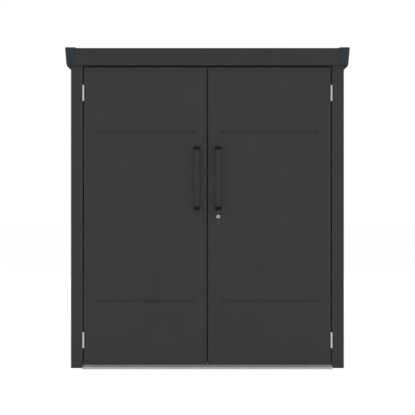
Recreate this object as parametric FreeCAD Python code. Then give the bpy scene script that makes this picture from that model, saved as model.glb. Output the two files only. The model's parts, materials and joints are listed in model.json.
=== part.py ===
import FreeCAD, Part

import math
import os

V = FreeCAD.Vector

# Bicycle locker in millimetres: +X right, +Y back, +Z up, origin on the ground in the middle of the body.

# Body
BODY_HALF_W = 618.0
BODY_HALF_D = 988.0
HEIGHT = 1450.0
FRONT = -BODY_HALF_D

# How far a cutter runs past the face that it cuts, how near an edge lies to the plane that it is picked by,
# and how near two points are one
OVERCUT = 1.0
ON_PLANE = 0.01
SAME_POINT = 1e-6

# Sheet metal
SHEET = 1.5
BEND = 1.5
HEADER_SHEET = 2.0
BASE_SHEET = 2.5
FLANGE = 22.0
WALL_TOP = 1396.0
WALL_FOOT = 4.0

# Front posts, with the rebate that holds the leaves and the stop flange behind them
POST_FACE = 54.5
POST_SIDE = 60.0
STOP_DEPTH = 30.0
STOP_REACH = 23.5
STOP_LIP = 13.0
FOOT_CORNER = 12.0
DOORWAY = BODY_HALF_W - POST_FACE
STOP_EDGE = DOORWAY - STOP_REACH
STOP = FRONT + STOP_DEPTH

# Base: side and back ground rails, sill, floor
RAIL_HEIGHT = 40.0
RAIL_FOOT = 62.0
RAIL_LIP = 18.0
SILL_REACH = 45.0
SILL_LIP_HEIGHT = 10.0
SILL_TOP = 13.5
SILL_BACK = FRONT + 62.0
SILL_FOOT = 20.0
SILL_END_GAP = 1.0
FLOOR_TOP = 36.0
FLOOR_SHEET = 2.0
ANCHOR_X = 576.0
ANCHOR_Y = 800.0
ANCHOR_R = 5.5

# Roof rails, leaning fascia, soffit and gutter: level soffit over the leaves, slanted down to the other walls
RAIL_TOP = 1447.0
FASCIA_FOOT = 1369.0
SIDE_FASCIA_FOOT = 1364.5
SOFFIT_FOOT = 1355.0
OVERHANG_TOP = 22.0
OVERHANG_FOOT = 16.0
RAIL_TOP_LIP = 11.0
RAIL_INNER = 17.0
GUTTER_WIDTH = 38.0
GUTTER_LIP = 22.0
MITRE_REACH = 60.0

# Corner caps
CAP_LENGTH = 47.0
CAP_WALL = 3.0
CAP_FOOT = 1372.5
CAP_CORNER = 6.0
CAP_INNER_CORNER = 0.3
CAP_FIT = 0.1
CAP_OUTSIDE = CAP_WALL + OVERHANG_TOP

# Roof panels and beams
DECK_TOP = WALL_TOP + GUTTER_LIP + SHEET
DECK_HALF_W = 592.0
DECK_HALF_D = 962.0
SEAM_HEIGHT = 21.0
SEAM_WIDTH = 6.0
SEAM_HOOK = 11.0
RIB_HEIGHT = 8.0
RIB_FOOT = 44.0
RIB_CREST = 30.0
BEAM_CREST = 18.0
BEAM_FOOT = 34.0

# Door leaves, right leaf in numbers
LEAF_IN = 2.3
LEAF_OUT = 559.0
LEAF_DEPTH = 28.0
LEAF_FOOT = 15.5
LEAF_TOP = 1361.5
LEAF_BEND = 2.5
LEAF_LIP = 18.0
LEAF_BACK = FRONT + LEAF_DEPTH
WEB = FRONT + 2 * SHEET

# Door header, a channel with the upper strike plate over the leaves, and the door stops behind the leaves
HEADER_BACK = FRONT + 60.0
HEADER_FRONT = FRONT + 2.0
STRIKE_PLATE = FASCIA_FOOT
TOP_STOP_FOOT = 1330.0
FOOT_STOP_TOP = 25.0

# Pressed beads of leaves and walls
BEAD_HEIGHTS = (304.0, 1069.0)
BEAD_WIDTH = 13.0
BEAD_DEPTH = 2.5
BEAD_INSET = 53.0
BEAD_NOTCH = 9.0
BEAD_NOTCH_INSET = BEAD_INSET - 4.0

# Stile channel and cross rail inside a leaf
STILE_IN = 24.0
STILE_OUT = 84.0
CROSS_Z = 686.0
CROSS_HALF = 30.0
CROSS_FLANGE = 20.0
CROSS_DEPTH = 24.0

# Bow handles
HANDLE_X = 48.0
HANDLE_LOW = 717.0
HANDLE_HIGH = 1002.0
HANDLE_W = 28.0
HANDLE_REACH = 45.0
HANDLE_THICK = 8.0
HANDLE_BEND = 16.0
HANDLE_EDGE = 2.5
SCREW_R = 2.5
SCREW_GRIP = 12.0
SCREW_HEAD_R = 4.5
SCREW_HEAD = 3.5

# Hinges
HINGE_FEET = (92.0, 1210.0)
HINGE_X = 561.25
HINGE_Y = FRONT - 5.3
KNUCKLE_R = 4.75
KNUCKLE = 35.0
KNUCKLE_GAP = 0.3
HINGE_HEIGHT = 2 * KNUCKLE + KNUCKLE_GAP
PIN_R = 2.5
PIN_HEIGHT = 66.0
HINGE_PLATE = 2.0
PLATE_GAP = 0.25
PLATE_START = FRONT + 0.6
PLATE_END = FRONT + 22.0
RUNNING = 0.05

# Espagnolette lock in the right leaf, bolts in the left leaf
LOCK_X = 49.0
LOCK_Z = 686.0
ROSE_R = 8.0
ROSE = 4.0
ROSE_CHAMFER = 0.8
BARREL_R = 7.0
BARREL_FIT = 0.2
BARREL_END = FRONT + 10.5
NUT_ACROSS = 19.0
NUT = 5.0
PLUG_R = 4.5
KEY_HALF_W = 0.9
KEY_HALF_H = 3.2
KEY_DEPTH = 10.0
SHANK = 6.0
CAM_FRONT = FRONT + 11.0
CAM_BACK = FRONT + 14.0
SHANK_END = CAM_BACK + 0.5
CRANK_R = 10.6
CRANK_ANGLE = 45.0
CAM_HALF_W = 5.0
CRANK_PIN_R = 2.5
CRANK_PIN_END = FRONT + 19.5
ROD_R = 5.0
ROD_Y = FRONT + 17.0
ROD_OFFSET = 9.0
ROD_FIT = 0.08
ROD_INSIDE = 1.0
ROD_HOLE_R = ROD_R + 0.6
ROD_START = CRANK_R + CAM_HALF_W + 1.5
PADDLE_HALF = 2.0
PADDLE_NEAR = 1.0
PADDLE_FAR = 17.0
PADDLE_PAST_PIN = 9.0
PADDLE_ON_ROD = 10.0
PADDLE_CORNER = 3.0
PIN_SLOT_NEAR = 4.6
PIN_SLOT_FAR = 13.5
PIN_SLOT_HALF = CRANK_PIN_R + 0.45
PIN_SLOT_CORNER = 2.5
STRIKE_X = 16.0
STRIKE_Y = 14.0
KNOB_R = 6.0
KNOB_NECK_R = 3.0
KNOB = 5.0
GUIDE_HALF_W = 11.0
GUIDE_HEIGHT = 18.0
GUIDE_REACH = 22.0
GUIDE_CORNER = 8.0
TOP_GUIDE = 1330.0
FOOT_GUIDE = 70.0
LOCK_GUIDES = (780.0, 600.0)
BOLT_GUIDES = (1170.0, 232.0)
TOP_BOLT_FOOT = 1137.0
TOP_KNOB = 1240.0
FOOT_BOLT_TOP = 250.0
FOOT_KNOB = 150.0

# Wall bolts
BOLT_HEIGHTS = (170.0, 690.0, 1210.0)
BOLT_R = 2.0
BOLT_INSET = 12.0
BOLT_HEAD = 2.8
BOLT_NUT = 3.2
BOLT_TAIL = 2.0
HEX_ACROSS = 7.0

# Seals: flat strips on the stop faces, and a lip across the meeting gap with its root on the right leaf
SEAL = 1.6
SEAL_WIDTH = 10.0
SEAL_INSET = 3.0
LIP_ROOT = (FRONT + 5.0, FRONT + 16.0)
LIP_EDGE = (FRONT + 8.0, FRONT + 11.0)
LIP_BACK = 1.0
LIP_REACH = 0.5
LIP_END = 8.0

AXES = {"x": V(1, 0, 0), "y": V(0, 1, 0), "z": V(0, 0, 1)}


def place(point, axis, at):
    """3-D place of a flat point: (y, z) on a plane along x, (x, z) along y and (x, y) along z."""
    if axis == "x":
        return V(at, point.x, point.y)
    if axis == "y":
        return V(point.x, at, point.y)
    return V(point.x, point.y, at)


def corner_arc(before, here, after, radius):
    """Start, middle and end of the arc that rounds a corner."""
    if radius == 0:
        return here, here, here
    back = (before - here).normalize()
    on = (after - here).normalize()
    half = back.getAngle(on) / 2
    inward = (back + on).normalize()
    tangent = radius / math.tan(half)
    middle = here + inward * (radius / math.sin(half) - radius)
    return here + back * tangent, middle, here + on * tangent


def prism(points, radii, axis, low, high):
    """Straight bar of one outline, its corners rounded to their radii, from low to high along an axis."""
    flat = [V(u, v, 0) for u, v in points]
    count = len(flat)
    arcs = [corner_arc(flat[i - 1], flat[i], flat[(i + 1) % count], radii[i]) for i in range(count)]
    edges = []
    for i, (start, middle, end) in enumerate(arcs):
        if radii[i]:
            edges.append(Part.Arc(*[place(p, axis, low) for p in (start, middle, end)]).toShape())
        following = arcs[(i + 1) % count][0]
        if end.distanceToPoint(following) > SAME_POINT:
            edges.append(Part.LineSegment(place(end, axis, low), place(following, axis, low)).toShape())
    return Part.Face(Part.Wire(edges)).extrude(AXES[axis] * (high - low))


def block(x0, x1, y0, y1, z0, z1):
    """Box between two corners."""
    return Part.makeBox(x1 - x0, y1 - y0, z1 - z0, V(x0, y0, z0))


def rod(radius, start, axis, length):
    """Round bar from a start point along an axis."""
    return Part.makeCylinder(radius, length, start, AXES[axis])


def folded(path, sheet, axis, low, high, tight=None):
    """Bent sheet: its outer face follows path with the metal on the right, rounded about one centre at bends.

    The bend at the point numbered tight is hammered flat, so that the sheet sits on a sharp edge there.
    """
    flat = [V(u, v, 0) for u, v in path]
    steps = [(after - before).normalize() for before, after in zip(flat, flat[1:])]
    rights = [V(step.y, -step.x, 0) for step in steps]
    far = [flat[0] + rights[0] * sheet]
    radii = [0]
    far_radii = [0]
    for i, (before, after) in enumerate(zip(rights, rights[1:]), 1):
        far.append(flat[i] + (before + after) * (sheet / (1 + before.dot(after))))
        bend = 0 if i == tight else BEND
        turns_right = before.cross(after).z < 0
        radii.append(bend + sheet if turns_right else bend)
        far_radii.append(bend if turns_right else bend + sheet)
    far.append(flat[-1] + rights[-1] * sheet)
    radii.append(0)
    far_radii.append(0)
    points = [(p.x, p.y) for p in flat + far[::-1]]
    return prism(points, radii + far_radii[::-1], axis, low, high)


def turned(shape, angle):
    """Copy turned about the upright axis: 90 puts a front piece on the right, -90 left and 180 back."""
    copy = shape.copy()
    copy.rotate(V(0, 0, 0), AXES["z"], angle)
    return copy


def mirrored(shape):
    """The same piece on the left side."""
    return shape.mirror(V(0, 0, 0), AXES["x"])


def hexagon(u, v, across):
    """Six corners about a centre, two flats upright."""
    reach = across / math.sqrt(3)
    angles = [math.radians(30 + 60 * i) for i in range(6)]
    return [(u + reach * math.cos(a), v + reach * math.sin(a)) for a in angles]


def capsule(radius, straight):
    """Round-ended bar along X: two quarter circles and a line, turned about the axis."""
    half = straight / 2
    tip = half + radius
    slope = radius * math.sqrt(0.5)
    left = Part.Arc(V(-tip, 0, 0), V(-half - slope, 0, slope), V(-half, 0, radius)).toShape()
    right = Part.Arc(V(half, 0, radius), V(half + slope, 0, slope), V(tip, 0, 0)).toShape()
    top = Part.LineSegment(V(-half, 0, radius), V(half, 0, radius)).toShape()
    base = Part.LineSegment(V(tip, 0, 0), V(-tip, 0, 0)).toShape()
    return Part.Face(Part.Wire([left, top, right, base])).revolve(V(0, 0, 0), AXES["x"], 360)


def with_beads(sheet, face, low, high):
    """Press both beads into a sheet that faces the front at y = face, between two places along x."""
    radius = (BEAD_WIDTH ** 2 / 4 + BEAD_DEPTH ** 2) / (2 * BEAD_DEPTH)
    straight = high - low - BEAD_WIDTH
    for height in BEAD_HEIGHTS:
        centre = V((low + high) / 2, face - radius + BEAD_DEPTH, height)
        groove = capsule(radius, straight).translate(centre)
        ridge = capsule(radius + SHEET, straight).translate(centre)
        behind = block(low - radius, high + radius, face + SHEET / 2, face + 2 * radius,
                       height - 2 * radius, height + 2 * radius)
        sheet = sheet.fuse(ridge.common(behind)).cut(groove)
    return sheet


# Walls


def wall_bolts():
    """Heads, shanks and nuts of the bolts through the wall flanges, and the shanks alone for drilling."""
    side = POST_SIDE - BODY_HALF_D
    third = -2 * side / 3
    side_joints = [side + third * i for i in range(4)]
    back_joints = [POST_SIDE - BODY_HALF_W, 0, BODY_HALF_W - POST_SIDE]
    rows = [(90, BODY_HALF_W, side_joints), (-90, BODY_HALF_W, side_joints), (180, BODY_HALF_D, back_joints)]
    bolts = []
    shanks = []
    for angle, plane, joints in rows:
        for joint in joints:
            for z in BOLT_HEIGHTS:
                y = BOLT_INSET - plane
                hexagon_points = hexagon(y, z, HEX_ACROSS)
                head = prism(hexagon_points, [0] * 6, "x", joint - SHEET - BOLT_HEAD, joint - SHEET)
                nut = prism(hexagon_points, [0] * 6, "x", joint + SHEET, joint + SHEET + BOLT_NUT)
                shank = rod(BOLT_R, V(joint - SHEET, y, z), "x", 2 * SHEET + BOLT_NUT + BOLT_TAIL)
                bolts.append(turned(head.fuse([shank, nut]), angle))
                shanks.append(turned(shank, angle))
    return Part.makeCompound(bolts), Part.makeCompound(shanks)


def wall_panel(low, high, plane):
    """Wall panel in front position: flat sheet with upright flanges, notched over the ground rail, beaded."""
    path = [(high, FLANGE - plane), (high, -plane), (low, -plane), (low, FLANGE - plane)]
    panel = folded(path, SHEET, "z", WALL_FOOT, WALL_TOP)
    notch = block(low - OVERCUT, high + OVERCUT, SHEET - plane, FLANGE + OVERCUT - plane, 0, RAIL_HEIGHT)
    return with_beads(panel.cut(notch), -plane, low + BEAD_INSET, high - BEAD_INSET)


def front_post():
    """Right front post: side face, front face, rebate for the leaf, stop flange and its lip."""
    path = [
        (BODY_HALF_W - FLANGE, FRONT + POST_SIDE),
        (BODY_HALF_W, FRONT + POST_SIDE),
        (BODY_HALF_W, FRONT),
        (DOORWAY, FRONT),
        (DOORWAY, STOP),
        (STOP_EDGE, STOP),
        (STOP_EDGE, STOP + STOP_LIP),
    ]
    post = folded(path, SHEET, "z", 0, WALL_TOP)
    x = DOORWAY + FOOT_CORNER
    front = FRONT - OVERCUT
    corner = block(DOORWAY - OVERCUT, x, front, STOP - OVERCUT, -OVERCUT, FOOT_CORNER)
    arc = rod(FOOT_CORNER, V(x, front, FOOT_CORNER), "y", STOP_DEPTH)
    return post.cut(corner.cut(arc))


def rear_post():
    """Right rear post: a plain corner with a flange on each side."""
    inner = BODY_HALF_W - POST_SIDE
    path = [
        (inner, BODY_HALF_D - FLANGE),
        (inner, BODY_HALF_D),
        (BODY_HALF_W, BODY_HALF_D),
        (BODY_HALF_W, BODY_HALF_D - POST_SIDE),
        (BODY_HALF_W - FLANGE, BODY_HALF_D - POST_SIDE),
    ]
    return folded(path, SHEET, "z", 0, WALL_TOP)


def door_header():
    """Header between the posts: a channel, open on top, whose floor is the strike plate over the leaves.

    Its front half fills the rebate of both posts, and its back half ends at their stop flanges.
    """
    path = [
        (HEADER_BACK, WALL_TOP),
        (HEADER_BACK, STRIKE_PLATE),
        (HEADER_FRONT, STRIKE_PLATE),
        (HEADER_FRONT, WALL_TOP),
    ]
    header = folded(path, HEADER_SHEET, "x", -DOORWAY, DOORWAY)
    foot = STRIKE_PLATE - OVERCUT
    for side in (-1, 1):
        x0, x1 = sorted((side * STOP_EDGE, side * (DOORWAY + OVERCUT)))
        header = header.cut(block(x0, x1, STOP - BEND, HEADER_BACK + OVERCUT, foot, HEIGHT))
    for x in (-LOCK_X, LOCK_X + ROD_OFFSET):
        header = header.cut(strike_slot(x, foot, STRIKE_PLATE + HEADER_SHEET + OVERCUT))
    return header


def door_stop(low, high):
    """Channel between the posts' stop flanges, its web behind the leaves and its open side to the back."""
    path = [(HEADER_BACK, low), (STOP, low), (STOP, high), (HEADER_BACK, high)]
    return folded(path, HEADER_SHEET, "x", -STOP_EDGE, STOP_EDGE)


def strike_slot(x, low, high):
    """Cutter for the slot that takes a rod."""
    return block(x - STRIKE_X / 2, x + STRIKE_X / 2, ROD_Y - STRIKE_Y / 2, ROD_Y + STRIKE_Y / 2, low, high)


# Base


def threshold_sill():
    """Sill: lip in front of the leaves, strike plate under them, down to the ground before the floor."""
    path = [
        (FRONT - SILL_REACH, 0),
        (FRONT - SILL_REACH, SILL_LIP_HEIGHT),
        (FRONT, SILL_TOP),
        (SILL_BACK, SILL_TOP),
        (SILL_BACK, 0),
        (SILL_BACK - SILL_FOOT, 0),
    ]
    end = DOORWAY - SILL_END_GAP
    sill = folded(path, BASE_SHEET, "x", -end, end)
    for side in (-1, 1):
        x0, x1 = sorted((side * STOP_EDGE, side * DOORWAY))
        sill = sill.cut(block(x0, x1, STOP, SILL_BACK + OVERCUT, -OVERCUT, SILL_TOP + OVERCUT))
    for x in (-LOCK_X, LOCK_X - ROD_OFFSET):
        sill = sill.cut(strike_slot(x, SILL_TOP - BASE_SHEET - OVERCUT, SILL_TOP + OVERCUT))
    return sill


def ground_rail(plane, half):
    """Ground rail in front position: wide foot on the ground, upright web, lip that carries the panels."""
    path = [
        (RAIL_FOOT - plane, 0),
        (SHEET - plane, 0),
        (SHEET - plane, RAIL_HEIGHT),
        (RAIL_LIP - plane, RAIL_HEIGHT),
    ]
    return folded(path, BASE_SHEET, "x", -half, half)


def side_ground_rail(angle):
    """Ground rail of a side, with its two anchor holes."""
    rail = turned(ground_rail(BODY_HALF_W, BODY_HALF_D - POST_SIDE), angle)
    for x in (-ANCHOR_X, ANCHOR_X):
        for y in (-ANCHOR_Y, ANCHOR_Y):
            rail = rail.cut(rod(ANCHOR_R, V(x, y, -OVERCUT), "z", BASE_SHEET + 2 * OVERCUT))
    return rail


def floor_panel(low, high):
    """Floor plank: flat top, flanges to the ground at its front and back, closed at both ends."""
    half = BODY_HALF_W - RAIL_FOOT
    path = [(low, 0), (low, FLOOR_TOP), (high, FLOOR_TOP), (high, 0)]
    panel = folded(path, FLOOR_SHEET, "x", -half, half)
    under = FLOOR_TOP - FLOOR_SHEET / 2
    ends = [block(x, x + FLOOR_SHEET, low + FLOOR_SHEET / 2, high - FLOOR_SHEET / 2, 0, under)
            for x in (-half, half - FLOOR_SHEET)]
    return panel.fuse(ends)


# Roof


def overhang(height):
    """How far the leaning fascia stands out from the walls at one height."""
    slope = (OVERHANG_TOP - OVERHANG_FOOT) / (RAIL_TOP - FASCIA_FOOT)
    return OVERHANG_FOOT + (height - FASCIA_FOOT) * slope


def roof_rail(plane, half, fascia_foot, soffit_foot):
    """Roof rail in front position: gutter lip, gutter floor on the wall, soffit, leaning fascia and top."""
    path = [
        (GUTTER_WIDTH - plane, WALL_TOP + GUTTER_LIP),
        (GUTTER_WIDTH - plane, WALL_TOP),
        (-plane, WALL_TOP),
        (-plane, soffit_foot),
        (-plane - overhang(fascia_foot), fascia_foot),
        (-plane - OVERHANG_TOP, RAIL_TOP),
        (RAIL_INNER - plane, RAIL_TOP),
        (RAIL_INNER - plane, RAIL_TOP - RAIL_TOP_LIP),
    ]
    reach = MITRE_REACH
    rail = folded(path, SHEET, "x", -half - reach, half + reach, tight=2)
    mitre = [(-half - reach, -plane - reach), (half + reach, -plane - reach),
             (half - reach, reach - plane), (reach - half, reach - plane)]
    return rail.common(prism(mitre, [0] * 4, "z", 0, HEIGHT))


def side_roof_rail():
    """Roof rail of the right side. Its soffit ends flush with the front, where a tab closes it, so that an open
    leaf passes under the overhang."""
    rail = turned(roof_rail(BODY_HALF_W, BODY_HALF_D, SIDE_FASCIA_FOOT, SOFFIT_FOOT), 90)
    under = block(BODY_HALF_W - OVERCUT, BODY_HALF_W + MITRE_REACH, FRONT - MITRE_REACH, FRONT,
                  SOFFIT_FOOT - OVERCUT, SIDE_FASCIA_FOOT)
    corners = [(BODY_HALF_W, SOFFIT_FOOT), (BODY_HALF_W + overhang(SIDE_FASCIA_FOOT), SIDE_FASCIA_FOOT),
               (BODY_HALF_W + overhang(FASCIA_FOOT), FASCIA_FOOT), (BODY_HALF_W, FASCIA_FOOT)]
    bend = BEND + SHEET
    tab = prism(corners, [bend, bend, 0, 0], "y", FRONT, FRONT + SHEET)
    return rail.cut(under).fuse(tab)


def cap_outline(height, offset, inset, corner):
    """Plan of the front right roof corner at one height, a distance outside the fascia."""
    lean = overhang(height) + offset
    inner_x = BODY_HALF_W + CAP_OUTSIDE - CAP_LENGTH - inset
    inner_y = -(BODY_HALF_D + CAP_OUTSIDE - CAP_LENGTH - inset)
    x = BODY_HALF_W + lean
    y = -(BODY_HALF_D + lean)
    flat = [V(inner_x, inner_y, 0), V(x, inner_y, 0), V(x, y, 0), V(inner_x, y, 0)]
    start, middle, end = corner_arc(flat[1], flat[2], flat[3], corner)
    lift = V(0, 0, height)
    edges = [
        Part.LineSegment(flat[0] + lift, flat[1] + lift).toShape(),
        Part.LineSegment(flat[1] + lift, start + lift).toShape(),
        Part.Arc(start + lift, middle + lift, end + lift).toShape(),
        Part.LineSegment(end + lift, flat[3] + lift).toShape(),
        Part.LineSegment(flat[3] + lift, flat[0] + lift).toShape(),
    ]
    return Part.Wire(edges)


def roof_cap():
    """Moulded cap of the front right roof corner: a tapered shell open below and towards both rails."""
    outside = [cap_outline(z, CAP_WALL, 0, CAP_CORNER) for z in (CAP_FOOT, HEIGHT)]
    inside = [cap_outline(z, CAP_FIT, OVERCUT, CAP_INNER_CORNER) for z in (CAP_FOOT - OVERCUT, RAIL_TOP)]
    return Part.makeLoft(outside, True, True).cut(Part.makeLoft(inside, True, True))


def roof_panel(low, high, hooked):
    """Roof panel: deck with two ribs between upturned edges, the back one hooked over the next panel's."""
    crest = DECK_TOP + RIB_HEIGHT
    top = DECK_TOP + SEAM_HEIGHT
    path = [(low + SHEET, top - 2 * SHEET), (low + SHEET, DECK_TOP)]
    for share in (1 / 3, 2 / 3):
        middle = low + (high - low) * share
        path += [(middle - RIB_FOOT / 2, DECK_TOP), (middle - RIB_CREST / 2, crest),
                 (middle + RIB_CREST / 2, crest), (middle + RIB_FOOT / 2, DECK_TOP)]
    path += [(high - SHEET, DECK_TOP), (high - SHEET, top)]
    if hooked:
        path += [(high - SHEET + SEAM_WIDTH, top), (high - SHEET + SEAM_WIDTH, top - SEAM_HOOK)]
    return folded(path, SHEET, "x", -DECK_HALF_W, DECK_HALF_W)


def roof_beam(middle):
    """Hat-shaped beam between the side gutters, under the joint of two roof panels."""
    foot = WALL_TOP + SHEET
    crest = DECK_TOP - SHEET
    path = [(middle - BEAM_FOOT, foot), (middle - BEAM_CREST, foot), (middle - BEAM_CREST, crest),
            (middle + BEAM_CREST, crest), (middle + BEAM_CREST, foot), (middle + BEAM_FOOT, foot)]
    half = BODY_HALF_W - GUTTER_WIDTH
    return folded(path, SHEET, "x", -half, half)


# Door leaves, built as the right leaf


def leaf_block(inset):
    """The leaf's outside or inside form: a box with its four front edges rounded."""
    box = block(LEAF_IN + inset, LEAF_OUT - inset, FRONT + inset, LEAF_BACK - inset,
                LEAF_FOOT + inset, LEAF_TOP - inset)
    front = [edge for edge in box.Edges if edge.BoundBox.YMax < FRONT + inset + ON_PLANE]
    return box.makeFillet(LEAF_BEND - inset, front)


def leaf_skin(rod_top_x, rod_foot_x):
    """Leaf of one sheet: front face, folded edges, lip all round the back, beads and holes."""
    window = block(LEAF_IN + LEAF_LIP, LEAF_OUT - LEAF_LIP, LEAF_BACK - 2 * SHEET, LEAF_BACK + OVERCUT,
                   LEAF_FOOT + LEAF_LIP, LEAF_TOP - LEAF_LIP)
    skin = leaf_block(0).cut(leaf_block(SHEET)).cut(window)
    skin = with_beads(skin, FRONT, LEAF_IN + BEAD_INSET, LEAF_OUT - BEAD_INSET)
    skin = skin.cut(rod(ROD_HOLE_R, V(rod_top_x, ROD_Y, LEAF_TOP - 2 * SHEET), "z", 3 * SHEET))
    skin = skin.cut(rod(ROD_HOLE_R, V(rod_foot_x, ROD_Y, LEAF_FOOT - SHEET), "z", 3 * SHEET))
    return skin.cut(handle_holes())


def handle_holes():
    """Cutters for the handle screws through the skin and the stile."""
    front = FRONT - OVERCUT
    return Part.makeCompound([rod(SCREW_R, V(HANDLE_X, front, z), "y", 3 * SHEET) for z in screw_heights()])


def screw_heights():
    """Heights of the two handle screws, in the middle of the handle's legs."""
    return HANDLE_LOW + HANDLE_THICK / 2, HANDLE_HIGH - HANDLE_THICK / 2


def stile():
    """Channel behind the free edge of a leaf, open to the inside, cut out round the backs of the beads."""
    path = [(STILE_OUT, LEAF_BACK - SHEET), (STILE_OUT, FRONT + SHEET), (STILE_IN, FRONT + SHEET),
            (STILE_IN, LEAF_BACK - SHEET)]
    channel = folded(path, SHEET, "z", LEAF_FOOT + LEAF_BEND, LEAF_TOP - LEAF_BEND)
    start = LEAF_IN + BEAD_NOTCH_INSET
    end = STILE_OUT + OVERCUT
    for height in BEAD_HEIGHTS:
        notch = block(start, end, FRONT, WEB + BEAD_DEPTH, height - BEAD_NOTCH, height + BEAD_NOTCH)
        channel = channel.cut(notch)
    return channel.cut(handle_holes())


def cross_rail():
    """Hat section across the leaf at lock height, from the stile to the hinge edge."""
    back = FRONT + CROSS_DEPTH
    path = [(WEB, CROSS_Z + CROSS_HALF + CROSS_FLANGE), (WEB, CROSS_Z + CROSS_HALF),
            (back, CROSS_Z + CROSS_HALF), (back, CROSS_Z - CROSS_HALF),
            (WEB, CROSS_Z - CROSS_HALF), (WEB, CROSS_Z - CROSS_HALF - CROSS_FLANGE)]
    return folded(path, SHEET, "x", STILE_OUT, LEAF_OUT - LEAF_BEND)


def handle():
    """Bow handle: one flat bar bent twice, its long edges rounded, with a tapped hole in each leg."""
    out = FRONT - HANDLE_REACH
    inside = out + HANDLE_THICK
    low = HANDLE_LOW + HANDLE_THICK
    high = HANDLE_HIGH - HANDLE_THICK
    points = [(FRONT, HANDLE_LOW), (out, HANDLE_LOW), (out, HANDLE_HIGH), (FRONT, HANDLE_HIGH),
              (FRONT, high), (inside, high), (inside, low), (FRONT, low)]
    inner = HANDLE_BEND - HANDLE_THICK
    radii = [0, HANDLE_BEND, HANDLE_BEND, 0, 0, inner, inner, 0]
    bow = prism(points, radii, "x", HANDLE_X - HANDLE_W / 2, HANDLE_X + HANDLE_W / 2)
    boxes = [(edge, edge.BoundBox) for edge in bow.Edges]
    edges = [edge for edge, box in boxes if box.XLength < ON_PLANE and box.YMin < FRONT - ON_PLANE]
    bow = bow.makeFillet(HANDLE_EDGE, edges)
    for z in screw_heights():
        bow = bow.cut(rod(SCREW_R, V(HANDLE_X, FRONT - SCREW_GRIP, z), "y", SCREW_GRIP + OVERCUT))
    return bow


def handle_screws():
    """Pan-head screws from inside the leaf into the handle's legs."""
    screws = []
    for z in screw_heights():
        shank = rod(SCREW_R, V(HANDLE_X, FRONT - SCREW_GRIP, z), "y", SCREW_GRIP + 2 * SHEET)
        head = rod(SCREW_HEAD_R, V(HANDLE_X, WEB, z), "y", SCREW_HEAD)
        screws.append(shank.fuse(head))
    return screws


# Hinges, built on the right


def hinge_half(foot, knuckle_foot, plate_side, bore):
    """One half of a lift-off hinge: a plate in the door gap, joined to its knuckle along the knuckle only."""
    plate_x = HINGE_X + (PLATE_GAP if plate_side > 0 else -PLATE_GAP - HINGE_PLATE)
    plate = block(plate_x, plate_x + HINGE_PLATE, PLATE_START, PLATE_END, foot, foot + HINGE_HEIGHT)
    neck = block(plate_x, plate_x + HINGE_PLATE, HINGE_Y, PLATE_START, knuckle_foot, knuckle_foot + KNUCKLE)
    knuckle = rod(KNUCKLE_R, V(HINGE_X, HINGE_Y, knuckle_foot), "z", KNUCKLE)
    return plate.fuse([neck, knuckle]).cut(rod(bore, V(HINGE_X, HINGE_Y, knuckle_foot), "z", KNUCKLE))


def frame_hinges():
    """Fixed halves, knuckle below, that hold the pins tight."""
    return [hinge_half(foot, foot, 1, PIN_R) for foot in HINGE_FEET]


def leaf_hinges():
    """Moving halves, knuckle above, that turn on the pins."""
    return [hinge_half(foot, foot + KNUCKLE + KNUCKLE_GAP, -1, PIN_R + RUNNING) for foot in HINGE_FEET]


def hinge_pins():
    """Pins of the right hinges."""
    return [rod(PIN_R, V(HINGE_X, HINGE_Y, foot), "z", PIN_HEIGHT) for foot in HINGE_FEET]


# Lock and bolts


def lock_hole():
    """Cutter for the barrel through skin and stile."""
    return rod(BARREL_R + BARREL_FIT, V(LOCK_X, FRONT - OVERCUT, LOCK_Z), "y", 4 * SHEET)


def lock_barrel():
    """Cylinder housing: round rose outside, threaded body through the leaf."""
    rose = rod(ROSE_R, V(LOCK_X, FRONT - ROSE, LOCK_Z), "y", ROSE)
    rim = [edge for edge in rose.Edges if edge.BoundBox.YMax < FRONT - ROSE + ON_PLANE]
    body = rod(BARREL_R, V(LOCK_X, FRONT, LOCK_Z), "y", BARREL_END - FRONT)
    bore = rod(PLUG_R, V(LOCK_X, FRONT - ROSE, LOCK_Z), "y", BARREL_END - FRONT + ROSE)
    return rose.makeChamfer(ROSE_CHAMFER, rim).fuse(body).cut(bore)


def lock_nut():
    """Hexagon nut that clamps the barrel to the leaf from inside."""
    nut = prism(hexagon(LOCK_X, LOCK_Z, NUT_ACROSS), [0] * 6, "y", WEB, WEB + NUT)
    return nut.cut(rod(BARREL_R, V(LOCK_X, WEB, LOCK_Z), "y", NUT))


def lock_plug():
    """Plug: round, with an upright key slot in front and a square shank for the cam behind."""
    front = FRONT - ROSE
    plug = rod(PLUG_R - RUNNING, V(LOCK_X, front, LOCK_Z), "y", CAM_FRONT - front)
    half = SHANK / 2
    start = CAM_FRONT - OVERCUT
    shank = block(LOCK_X - half, LOCK_X + half, start, SHANK_END, LOCK_Z - half, LOCK_Z + half)
    slot = block(LOCK_X - KEY_HALF_W, LOCK_X + KEY_HALF_W, front - OVERCUT, front + KEY_DEPTH,
                 LOCK_Z - KEY_HALF_H, LOCK_Z + KEY_HALF_H)
    return plug.fuse(shank).cut(slot)


def crank_pin(side):
    """Centre of a crank pin at rest, side +1 for the top rod and -1 for the bottom rod."""
    drop = math.radians(CRANK_ANGLE)
    return LOCK_X + side * CRANK_R * math.cos(drop), LOCK_Z - side * CRANK_R * math.sin(drop)


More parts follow.
